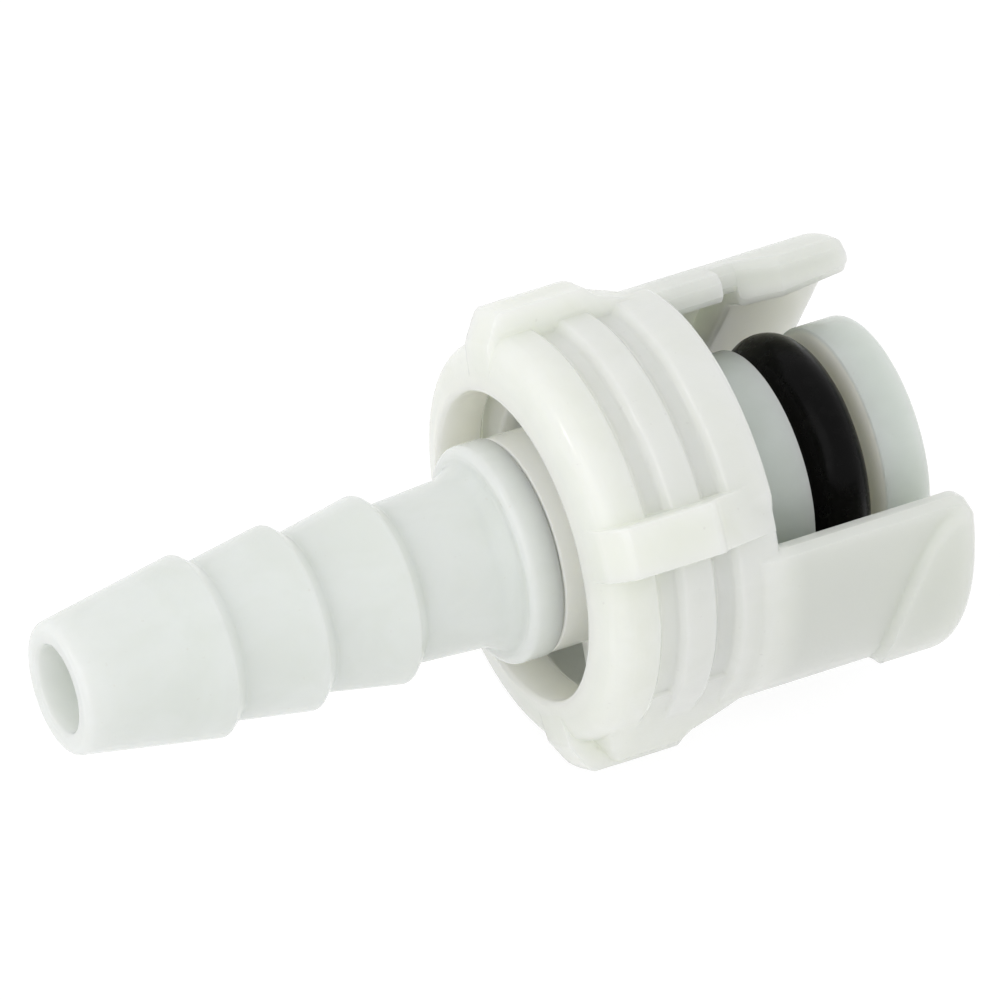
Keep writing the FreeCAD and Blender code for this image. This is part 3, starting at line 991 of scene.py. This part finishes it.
@dataclass
class GripRing:
    """The collar's ring: front lip, two grooves, two raised grips, four pads and two wedges."""

    inner_r: float = 10.3
    outer_r: float = 11.8
    grip_rise: float = 0.5
    grip_fade: float = 6.0
    lip_x0: float = 28.6
    lip_r: float = 9.1
    lip_length: float = 2.8
    lip_slope: float = 0.8
    lip_radius: float = 0.25
    front_radius: float = 1.2
    rear_radius: float = 0.4
    inside_radii: tuple[float, float, float] = (0.2, 0.4, 0.3)
    groove_offsets: tuple[float, ...] = (2.5, 6.05)
    groove_width: float = 1.8
    groove_depth: float = 0.5
    groove_slope: float = 0.4
    groove_radius: float = 0.3
    pad_angle: float = 42.75
    pad_width: float = 14.5
    pad_top_r: float = 13.65
    pad_front_x: float = 29.05
    pad_front_r: float = 11.9
    pad_lean: float = 1.0
    pad_foot_slope: float = 10.0
    pad_foot_blend: float = 0.2
    pad_flat_x1: float = 35.7
    pad_shoulder_x1: float = 36.1
    pad_shoulder_r: float = 13.05
    pad_shoulder_blend: float = 0.3
    pad_end_x: float = 39.5
    pad_side_slope: float = 7.0
    pad_side_start: float = 0.12
    pad_side_sink: float = 0.5
    pad_blend: float = 0.45
    wedge_setback: float = 1.5
    wedge_r: float = 11.5
    wedge_overlap: float = 1.3
    wedge_fall: float = 2.5
    wedge_reach: float = 60.0
    wedge_blend: float = 0.4
    wedge_near_slope: float = 3.0
    wedge_near_blend: float = 0.2
    wedge_end_angle: float = 81.3
    root_blend: float = 0.22
    turn_steps: int = 180
    cluster_degrees: float = 2.4
    cluster_steps: int = 17
    seam: float = 0.4
    seam_step: float = 0.05
    lip_kept: float = 0.3
    lip_kept_r: float = 1.0
    rear_kept: float = 0.02

    def outer_outline(self) -> np.ndarray:
        """Samples the ring's outside, from the lip's inner edge over the two grooves to the rear face.

        Returns:
            Samples of (x, r).
        """
        floor_r = self.outer_r - self.groove_depth
        corners: list[Corner] = [
            (self.lip_x0 + self.seam, self.lip_r, 0),
            (self.lip_x0, self.lip_r, self.lip_radius),
            (AT.ring_x0, self.outer_r, self.front_radius),
        ]
        for offset in self.groove_offsets:
            x = AT.ring_x0 + offset
            corners += [
                (x, self.outer_r, self.groove_radius),
                (x + self.groove_slope, floor_r, self.groove_radius),
                (x + self.groove_width - self.groove_slope, floor_r, self.groove_radius),
                (x + self.groove_width, self.outer_r, self.groove_radius),
            ]
        corners += [
            (AT.ring_x1, self.outer_r, self.rear_radius),
            (AT.ring_x1, self.inner_r + self.seam, 0),
        ]
        return outline_points(corners, run_step=0.25, arc_points=6, closed=False)

    def inner_outline(self) -> np.ndarray:
        """Samples the ring's inside, from the rear face back to the lip.

        Returns:
            Samples of (x, r).
        """
        slope_x = self.lip_x0 + self.lip_length + self.lip_slope
        rear_radius, slope_radius, lip_radius = self.inside_radii
        return outline_points(
            [
                (AT.ring_x1, self.inner_r + self.seam - self.seam_step, 0),
                (AT.ring_x1, self.inner_r, rear_radius),
                (slope_x, self.inner_r, slope_radius),
                (slope_x - self.lip_slope, self.lip_r, lip_radius),
                (self.lip_x0 + self.seam + self.seam_step, self.lip_r, 0),
            ],
            arc_points=5, closed=False,
        )

    def pad_profile(self, x: np.ndarray, setback: float) -> np.ndarray:
        """Height of a pad along the axis.

        Formula: the lowest of a steep front foot, a leaning front, a flat top and the higher of two
        falling lines, with every crease rounded.

        Args:
            x: Stations.
            setback: How far the front is moved back.

        Returns:
            Distance from the axis.
        """
        start = self.pad_front_x + setback
        lean = (self.pad_top_r - self.pad_front_r) / self.pad_lean
        foot = self.pad_front_r + self.pad_foot_slope * (x - start)
        front = self.pad_front_r + lean * (x - start)
        fall = (self.pad_top_r - self.pad_shoulder_r) / (self.pad_shoulder_x1 - self.pad_flat_x1)
        shoulder = self.pad_top_r - fall * (x - self.pad_flat_x1)
        slope = (self.pad_shoulder_r - self.outer_r) / (self.pad_end_x - self.pad_shoulder_x1)
        rear = self.pad_shoulder_r - slope * (x - self.pad_shoulder_x1)
        back = smooth_more(shoulder, rear, self.pad_shoulder_blend)
        height = smooth_less(smooth_less(foot, front, self.pad_foot_blend), back, self.pad_blend)
        return smooth_less(height, np.full_like(height, self.pad_top_r), self.pad_blend)

    def relief(self, x: np.ndarray, base: np.ndarray, degrees: np.ndarray) -> np.ndarray:
        """Raises the pads and wedges over the ring.

        Formula: a pad is the lower of its profile and two steep side ramps. A wedge is the lower of
        the profile set back and a flat flank, whose radius at an angle is its distance divided by
        the cosine of the angle from its normal. The highest of ring, pads and wedge is kept, with
        the crease at the foot rounded.

        Args:
            x: Stations of the outline's samples.
            base: The ring's radius at each angle and sample.
            degrees: Angles, in a column.

        Returns:
            The raised radius.
        """
        fold = (degrees + 90) % 180 - 90
        half = self.pad_width / 2
        mm_per_degree = math.radians(self.pad_top_r)
        pads = np.broadcast_to(self.pad_profile(x, 0)[None], base.shape)
        inset = (half - np.abs(np.abs(fold) - self.pad_angle)) * mm_per_degree
        sides = self.outer_r - self.pad_side_sink + self.pad_side_slope * (inset + self.pad_side_start)
        pads = smooth_less(pads, sides, self.pad_blend)
        wedges = np.broadcast_to(self.pad_profile(x, self.wedge_setback)[None], base.shape)
        lean = math.degrees(math.acos(self.wedge_r / self.pad_top_r))
        away = -fold - (self.pad_angle + half - self.wedge_overlap + lean)
        away = np.clip(away, -self.wedge_reach, self.wedge_reach)
        flank = self.wedge_r / np.cos(np.radians(away))
        flank = flank - self.wedge_fall * np.clip(away, 0, None) * mm_per_degree
        wedges = smooth_less(wedges, flank, self.wedge_blend)
        near = self.pad_top_r + self.wedge_near_slope * (-fold - self.pad_angle) * mm_per_degree
        wedges = smooth_less(wedges, np.broadcast_to(near, base.shape), self.wedge_near_blend)
        return smooth_more(smooth_more(base, wedges, self.root_blend), pads, self.root_blend)

    def angles(self) -> np.ndarray:
        """Angles round the ring: even steps, with closer ones where a pad's side or a wedge ends.

        Returns:
            Angles in rising order.
        """
        near_side = self.pad_angle - self.pad_width / 2
        far_side = self.pad_angle + self.pad_width / 2
        spots = [near_side, far_side, -near_side, -far_side, -self.wedge_end_angle]
        cluster = np.linspace(-self.cluster_degrees, self.cluster_degrees, self.cluster_steps)
        near = np.concatenate([spot + cluster + turn for spot in spots for turn in (0, 180)])
        even = np.arange(self.turn_steps) * 360 / self.turn_steps
        return np.unique(np.round(np.concatenate([even, near % 360]) % 360, 2))

    def build(self) -> bpy.types.Object:
        """Builds the ring.

        Formula: the section is carried round the axis. Its samples move out by the grip's rise, in
        full on the grips and not at all between them, and the outside is raised by the relief. The
        lip's inner edge stays where it is, and the rise grows from there over the rounded front.

        Returns:
            The ring.
        """
        degrees = self.angles()[:, None]
        fold = np.abs((degrees + 90) % 180 - 90)
        rise = self.grip_rise * smooth_step((self.pad_angle + self.grip_fade / 2 - fold) / self.grip_fade)
        outer = self.outer_outline()
        inner = self.inner_outline()
        part_out = np.clip((outer[:, 1] - self.lip_r) / (self.outer_r - self.lip_r), 0, 1)
        part_out = np.where(outer[:, 0] > AT.ring_x0 + self.front_radius, 1, part_out)[None]
        part_in = np.clip((inner[:, 1] - self.lip_r) / (self.inner_r - self.lip_r), 0, 1)[None]
        outside = outer[None, :, 1] + rise * part_out
        past_lip = (outer[:, 0] > self.lip_x0 + self.lip_kept) & (outer[:, 1] > self.lip_r + self.lip_kept_r)
        relieved = past_lip & (outer[:, 0] < AT.ring_x1 - self.rear_kept)
        outside = np.where(relieved[None], self.relief(outer[:, 0], outside, degrees), outside)
        inside = inner[None, :, 1] + rise * part_in
        x = np.concatenate([outer[:, 0], inner[:, 0]])[None]
        points = from_polar(x, np.concatenate([outside, inside], axis=1), degrees)
        piece = grid_piece("latch_collar_moulding", points)
        log.info("grip ring: %d faces", len(piece.data.polygons))
        return piece


@dataclass
class LatchArm:
    """Hooked arm of the collar: a quarter shell with a notch, a lip, a flat tooth and, on one, a boss."""

    name: str
    turn: float
    has_boss: bool
    inner_r: float = 10.3
    outer_r: float = 12.0
    root_x: float = 38.1
    root_fade: float = 0.9
    root_drop: float = 0.3
    start_angle: float = 56.0
    end_angle: float = 145.0
    end_radius: float = 0.55
    corner_radius: float = 1.0
    edge_chamfer: float = 0.45
    hook_length: float = 6.4
    lip_r: float = 9.35
    lip_flare: float = 0.6
    lip_inset: float = 12.0
    lip_run_in: float = 3.0
    tooth_z: float = 8.5
    tooth_flare: float = 0.15
    tooth_blend: float = 0.12
    hook_radius: float = 0.35
    notch_length: float = 1.5
    notch_depth: float = 1.4
    notch_ramp: float = 2.2
    boss_height: float = 0.55
    boss_length: float = 5.0
    boss_half_width: float = 9.0
    boss_edge: float = 0.5
    margin: float = 0.05
    tolerance: float = 0.001
    root_samples: int = 20
    notch_steps: tuple[float, ...] = (-0.02, 0.02, 0.05, 0.12)
    notch_start: float = 0.2
    notch_samples: int = 6
    face_steps: tuple[float, ...] = (-0.015, 0.0, 0.03, 0.08, 0.15, 0.24, 0.35)
    hook_start: float = 0.4
    hook_samples: int = 34
    tip_samples: int = 12
    edge_steps: tuple[float, ...] = (0, 0.02, 0.05, 0.1, 0.2, 0.3, 0.42, 0.45, 0.48, 0.55)
    middle_band: Band = (0.035, 0.965)
    middle_samples: int = 84

    def __post_init__(self) -> None:
        """Works out the hook's face and the arm's middle angle."""
        self.hook_x0 = AT.probe_x1 - self.hook_length
        self.middle = (self.start_angle + self.end_angle) / 2

    def stations(self) -> np.ndarray:
        """Stations along the arm, closer at the notch, the hook and the tip.

        Returns:
            Stations in rising order.
        """
        notch_x0 = self.hook_x0 - self.notch_length
        tip_x0 = AT.probe_x1 - self.end_radius
        return np.unique(np.round(np.concatenate([
            np.linspace(self.root_x, notch_x0 - self.margin, self.root_samples),
            notch_x0 + np.array(self.notch_steps),
            np.linspace(notch_x0 + self.notch_start, self.hook_x0 - self.margin, self.notch_samples),
            self.hook_x0 + np.array(self.face_steps),
            np.linspace(self.hook_x0 + self.hook_start, tip_x0 - self.margin, self.hook_samples),
            tip_x0 + self.end_radius * np.sin(np.linspace(0, math.pi / 2, self.tip_samples)),
        ]), 4))

    def ends(self, x: np.ndarray) -> tuple[np.ndarray, np.ndarray]:
        """First and last angle of the arm at each station.

        Formula: the first edge curves in over the corner radius at the tip. The last edge steps in
        by the notch's depth and comes back along a straight ramp.

        Args:
            x: Stations.

        Returns:
            Two arrays of angles.
        """
        inset = rounded_edge(AT.probe_x1 - x, self.corner_radius)
        ramp = np.clip((self.hook_x0 + self.notch_ramp - x) / self.notch_ramp, 0, 1)
        depth = self.notch_depth * np.where(x > self.hook_x0 - self.notch_length, ramp, 0)
        scale = math.degrees(1 / self.outer_r)
        return self.start_angle + inset * scale, self.end_angle - depth * scale

    def boss(self, x: np.ndarray, degrees: np.ndarray) -> np.ndarray:
        """Height of the half-oval boss, which slopes off over its edge width.

        Args:
            x: Stations.
            degrees: Angles.

        Returns:
            The height, which is 0 all over on the arm with no boss.
        """
        if not self.has_boss:
            return np.zeros(np.broadcast_shapes(x.shape, degrees.shape))
        across = np.radians(degrees - self.middle) * self.outer_r
        reach = np.hypot((x - AT.probe_x1) / self.boss_length, across / self.boss_half_width)
        return self.boss_height * smooth_step((1 - reach) * self.boss_length / self.boss_edge)

    def hook(self, x: np.ndarray, degrees: np.ndarray) -> np.ndarray:
        """Inner radius of the arm past the hook's face.

        Formula: the lower of the flared lip and the tooth's plane, whose radius at an angle is its
        height divided by the cosine of the angle from its normal, with rounded edges at the face and
        the tip. Near the arm's first edge it runs back out to the shell.

        Args:
            x: Stations.
            degrees: Angles.

        Returns:
            Distance from the axis.
        """
        past = (x - self.hook_x0) / self.hook_length
        lip = self.lip_r + self.lip_flare * past
        tooth = (self.tooth_z + self.tooth_flare * past) / np.cos(np.radians(degrees - self.middle))
        hook = smooth_less(np.broadcast_to(lip, tooth.shape), tooth, self.tooth_blend)
        hook = hook + rounded_edge(x - self.hook_x0, self.hook_radius)
        hook = hook + rounded_edge(AT.probe_x1 - x, self.hook_radius)
        full = smooth_step((degrees - self.start_angle - self.lip_inset) / self.lip_run_in)
        return self.inner_r + (hook - self.inner_r) * full

    def build(self) -> bpy.types.Object:
        """Builds the arm.

        Formula: at each station a loop runs out along the arm's outside and back along its inside.
        The outside is the shell's radius plus the boss, and sinks under the ring's skin at the root.
        The inside is the shell's inner radius, or the hook's past its face. Quarter-round drops ease
        the tip, chamfers ease the long edges, and a ladder of quads closes each end.

        Returns:
            The arm.
        """
        x = self.stations()[:, None]
        first, last = self.ends(x)
        near = np.array(self.edge_steps) / (math.radians(self.end_angle - self.start_angle) * self.outer_r)
        middle = np.linspace(*self.middle_band, self.middle_samples)
        degrees = first + (last - first) * np.concatenate([near, middle, 1 - near[::-1]])[None]
        to_edge = np.minimum(degrees - first, last - degrees) * math.radians(self.outer_r)
        chamfer = np.clip(self.edge_chamfer - to_edge, 0, None)
        outside = self.outer_r + self.boss(x, degrees) - chamfer
        outside = outside - rounded_edge(AT.probe_x1 - x, self.end_radius)
        outside = outside - self.root_drop * smooth_step(1 - (x - self.root_x) / self.root_fade)
        inside = np.where(x < self.hook_x0 - self.tolerance, self.inner_r, self.hook(x, degrees))
        inside = inside + chamfer
        points = from_polar(
            x,
            np.concatenate([outside, inside[:, ::-1]], axis=1),
            np.concatenate([degrees, degrees[:, ::-1]], axis=1) + self.turn,
        )
        piece = capped_sweep(self.name, points)
        log.info("%s: %d faces", self.name, len(piece.data.polygons))
        return piece


@dataclass
class CollarCore:
    """The collar's hub, which turns on the stem, and the plates that tie it to the ring."""

    hub_inner_r: float = 5.46
    hub_outer_r: float = 6.31
    hub_radius: float = 0.15
    hub_segments: int = 120
    plate_thickness: float = 1.4
    plate_outer_r: float = 11.2
    plate_radius: float = 0.2
    spoke_inner_r: float = 5.9
    web_inner_r: float = 7.9
    spoke_angle: float = 42.75
    spoke_width: float = 14.5
    step_degrees: float = 2.0
    end_radius: float = 0.3
    end_steps: tuple[float, ...] = (0, 0.04, 0.1, 0.18, 0.3)
    end_degrees: float = 2.2
    middle_samples: int = 90
    across_shares: tuple[float, ...] = (0, 0.01, 0.03, 0.06, 0.1, 0.2, 0.4, 0.6, 0.8, 1.0)

    def plate(self, name: str, turn: float) -> bpy.types.Object:
        """Makes a plate of two spokes and the web between them.

        Formula: at each angle a loop runs out along the plate's front and back along its rear. Its
        inner radius is the spokes' at both ends and rises to the web's between them, and the
        thickness rounds off towards the two ends.

        Args:
            name: The piece's name.
            turn: Angle by which it is turned.

        Returns:
            The plate.
        """
        first = self.spoke_angle - self.spoke_width / 2
        last = 180 - first
        to_mm = math.radians(self.plate_outer_r)
        near = np.array(self.end_steps) / to_mm
        middle = np.linspace(first + self.end_degrees, last - self.end_degrees, self.middle_samples)
        degrees = np.concatenate([first + near, middle, last - near[::-1]])[:, None]
        inset = np.minimum(degrees - first, last - degrees)
        web = smooth_step((inset - self.spoke_width) / self.step_degrees + 1)
        inner = self.spoke_inner_r + (self.web_inner_r - self.spoke_inner_r) * web
        r = inner + (self.plate_outer_r - inner) * np.array(self.across_shares)[None]
        drop = rounded_edge(inset * to_mm, self.end_radius) + rounded_edge(r - inner, self.plate_radius)
        front = AT.hub_x1 - self.plate_thickness + drop
        rear = AT.hub_x1 - drop
        points = from_polar(
            np.concatenate([front, rear[:, ::-1]], axis=1),
            np.concatenate([r, r[:, ::-1]], axis=1),
            degrees + turn,
        )
        return capped_sweep(name, points)

    def build(self) -> list[bpy.types.Object]:
        """Builds the hub and both plates.

        Returns:
            The hub and the plates.
        """
        corners = [
            (AT.hub_x0, self.hub_inner_r, self.hub_radius),
            (AT.hub_x0, self.hub_outer_r, self.hub_radius),
            (AT.hub_x1, self.hub_outer_r, self.hub_radius),
            (AT.hub_x1, self.hub_inner_r, self.hub_radius),
        ]
        hub = lathed("collar_hub", outline_points(corners), self.hub_segments)
        log.info("collar core: hub of %d faces", len(hub.data.polygons))
        return [hub, self.plate("collar_plate_one", 0), self.plate("collar_plate_two", 180)]


@dataclass
class LatchCollar:
    """The collar as one moulding: grip ring, two arms, hub and plates, fused."""

    sharp_degrees: float = 27.0
    soft_x1: float = 40.0

    def soften(self, mesh: bpy.types.Mesh) -> None:
        """Shades the ring smooth again, so that crisp edges stay only on the arms past it.

        Args:
            mesh: The fused mesh, its sharp edges marked.
        """
        places = np.empty(len(mesh.vertices) * 3, np.float32)
        mesh.vertices.foreach_get("co", places)
        ends = np.empty(len(mesh.edges) * 2, np.int32)
        mesh.edges.foreach_get("vertices", ends)
        sharp = np.empty(len(mesh.edges), bool)
        mesh.edges.foreach_get("use_edge_sharp", sharp)
        far = places[::3][ends.reshape(-1, 2)].min(1) > self.soft_x1 * MM
        mesh.edges.foreach_set("use_edge_sharp", sharp & far)

    def build(self, dresser: Dresser) -> None:
        """Builds the parts, fuses them into one closed shell and dresses it.

        Formula: each part is added to the ring by a union, so no inner faces stay and light runs
        on through the walls from part to part.

        Args:
            dresser: Gives the finish.
        """
        ring = GripRing().build()
        others = [
            LatchArm("arm_with_boss", 0, True).build(),
            LatchArm("arm_plain", 180, False).build(),
            *CollarCore().build(),
        ]
        for other in others:
            union = ring.modifiers.new(other.name, "BOOLEAN")
            union.operation = "UNION"
            union.solver = "MANIFOLD"
            union.object = other
        fused = bpy.data.meshes.new_from_object(ring.evaluated_get(bpy.context.evaluated_depsgraph_get()))
        ring.modifiers.clear()
        ring.data = fused
        fused.set_sharp_from_angle(angle=math.radians(self.sharp_degrees))
        self.soften(fused)
        for other in others:
            bpy.data.objects.remove(other, do_unlink=True)
        dresser.dress(settle(ring, "collar", "latch_collar"), Finish.COLLAR)
        log.info("latch collar: %d faces", len(fused.polygons))


# Studio


@dataclass(frozen=True)
class Lamp:
    """A soft box, placed in the photograph's own directions: right, up and towards the viewer."""

    name: str
    direction: tuple[float, float, float]
    distance: float
    size: float
    watts: float


@dataclass
class Studio:
    """White sweep, soft boxes and the camera at the photograph's angle. Sizes are in metres."""

    middle_x: float = 0.035
    axis_turn: float = 17.3528
    axis_lean: float = 21.8131
    roll: float = 57.4614
    distance: float = 1.18094
    lens: float = 752.8
    sensor: float = 36.0
    shift_right: float = -0.006252
    shift_up: float = 0.000911
    clip_start: float = 0.05
    clip_end: float = 50.0
    floor_half: float = 4.0
    floor_gap: float = 0.00005
    floor_lines: int = 9
    paper: str = "f2f2f2"
    white: str = "ffffff"
    paper_glow: float = 1.12
    glow_share: float = 0.8
    world_strength: float = 0.82
    lamps: tuple[Lamp, ...] = (
        Lamp("front_soft_box", (-0.40, 0.00, 0.92), 1.0, 1.1, 1.9),
        Lamp("left_soft_box", (-0.84, 0.27, 0.47), 0.7, 0.10, 0.30),
    )

    def axes(self) -> np.ndarray:
        """Camera directions as rows: right, up and towards the viewer, in the frame.

        Formula: in the camera's own coordinates the flow axis leans away from the viewer by the
        axis lean, turned up from the picture's right by the axis turn. +Z lies across it at the
        roll angle, measured from straight across the picture towards the viewer.

        Returns:
            Three rows of three.
        """
        turn, lean, roll = np.radians([self.axis_turn, self.axis_lean, self.roll])
        flow = np.array([math.cos(lean) * math.cos(turn), math.cos(lean) * math.sin(turn), -math.sin(lean)])
        across = np.array([-math.sin(turn), math.cos(turn), 0.0])
        forward = np.cross(flow, across)
        up = across * math.cos(roll) + forward * math.sin(roll)
        return np.stack([flow, np.cross(up, flow), up], axis=1)

    def camera(self) -> None:
        """Makes the camera and sets it as the scene's."""
        right, up, back = (Vector(row) for row in self.axes())
        target = Vector((self.middle_x, 0, 0)) + right * self.shift_right + up * self.shift_up
        data = bpy.data.cameras.new("studio_camera")
        data.lens = self.lens
        data.sensor_width = self.sensor
        data.clip_start = self.clip_start
        data.clip_end = self.clip_end
        camera = bpy.data.objects.new("studio_camera", data)
        bpy.context.scene.collection.objects.link(camera)
        camera.rotation_mode = "QUATERNION"
        camera.rotation_quaternion = Matrix((right, up, back)).transposed().to_quaternion()
        camera.location = target + back * self.distance
        bpy.context.scene.camera = camera

    def light(self) -> None:
        """Makes the soft boxes."""
        axes = self.axes()
        for lamp in self.lamps:
            data = bpy.data.lights.new(lamp.name, "AREA")
            data.shape = "DISK"
            data.size = lamp.size
            data.energy = lamp.watts
            box = bpy.data.objects.new(lamp.name, data)
            bpy.context.scene.collection.objects.link(box)
            way = Vector(np.array(lamp.direction) @ axes).normalized()
            box.location = Vector((self.middle_x, 0, 0)) + way * lamp.distance
            box.rotation_mode = "QUATERNION"
            box.rotation_quaternion = way.to_track_quat("Z", "Y")

    def seen(self, tree: bpy.types.NodeTree) -> bpy.types.NodeSocket:
        """Adds nodes that say whether a ray shows the background to the eye.

        Args:
            tree: The node tree.

        Returns:
            A socket that is 1 for camera, glossy and transmission rays.
        """
        path = add_node(tree, "ShaderNodeLightPath")
        shown = path.outputs["Is Camera Ray"]
        for ray in ("Is Glossy Ray", "Is Transmission Ray"):
            links = {0: shown, 1: path.outputs[ray]}
            shown = add_node(tree, "ShaderNodeMath", None, links, operation="MAXIMUM").outputs["Value"]
        return shown

    def sweep(self, floor_z: float) -> None:
        """Makes the white floor under the part.

        Args:
            floor_z: The part's lowest point.
        """
        material, tree = blank_material("white_paper_sweep")
        paper = add_node(tree, "ShaderNodeBsdfDiffuse", {"Color": linear(self.paper)})
        glow = add_node(
            tree, "ShaderNodeEmission", {"Color": linear(self.white), "Strength": self.paper_glow}
        )
        lit = add_node(
            tree, "ShaderNodeMixShader", {"Fac": self.glow_share},
            {1: paper.outputs["BSDF"], 2: glow.outputs["Emission"]},
        )
        shown = add_node(
            tree, "ShaderNodeMixShader", None,
            {"Fac": self.seen(tree), 1: paper.outputs["BSDF"], 2: lit.outputs["Shader"]},
        )
        add_node(tree, "ShaderNodeOutputMaterial", None, {"Surface": shown.outputs["Shader"]})
        spread = np.linspace(-self.floor_half, self.floor_half, self.floor_lines)
        x, y = np.meshgrid(spread, spread, indexing="ij")
        points = np.stack([x, y, np.full_like(x, floor_z - self.floor_gap)], axis=-1).reshape(-1, 3)
        index = np.arange(self.floor_lines ** 2).reshape(self.floor_lines, self.floor_lines)
        quads = np.stack([index[:-1, :-1], index[1:, :-1], index[1:, 1:], index[:-1, 1:]], axis=-1)
        mesh = bpy.data.meshes.new("white_paper_sweep")
        mesh.from_pydata(points.tolist(), [], quads.reshape(-1, 4).tolist())
        floor = bpy.data.objects.new("white_paper_sweep", mesh)
        floor.data.materials.append(material)
        bpy.context.scene.collection.objects.link(floor)
        floor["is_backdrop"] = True

    def world(self) -> None:
        """Makes the white room: full white to the eye and gentler as a light."""
        world = bpy.data.worlds.new("white_room")
        world.use_nodes = True
        tree = world.node_tree
        tree.nodes.clear()
        colour = linear(self.white)
        soft = add_node(tree, "ShaderNodeBackground", {"Color": colour, "Strength": self.world_strength})
        full = add_node(tree, "ShaderNodeBackground", {"Color": colour, "Strength": 1.0})
        shown = add_node(
            tree, "ShaderNodeMixShader", None,
            {"Fac": self.seen(tree), 1: soft.outputs["Background"], 2: full.outputs["Background"]},
        )
        add_node(tree, "ShaderNodeOutputWorld", None, {"Surface": shown.outputs["Shader"]})
        bpy.context.scene.world = world

    def build(self, floor_z: float) -> None:
        """Builds the whole studio.

        Args:
            floor_z: The part's lowest point.
        """
        self.camera()
        self.light()
        self.sweep(floor_z)
        self.world()
        bpy.context.scene.view_settings.view_transform = "Standard"
        log.info("studio: floor at %.2f mm", floor_z / MM)


def main() -> None:
    """Builds every sub-assembly in order."""
    cad_box = [list(corner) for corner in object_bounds()]
    dresser = Dresser()
    HoseStem().build(dresser)
    Probe().build(dresser)
    Valve().build(dresser)
    LatchCollar().build(dresser)
    Studio().build(cad_box[0][2])


if __name__ == "__main__":
    logging.basicConfig(level=logging.INFO)
    main()
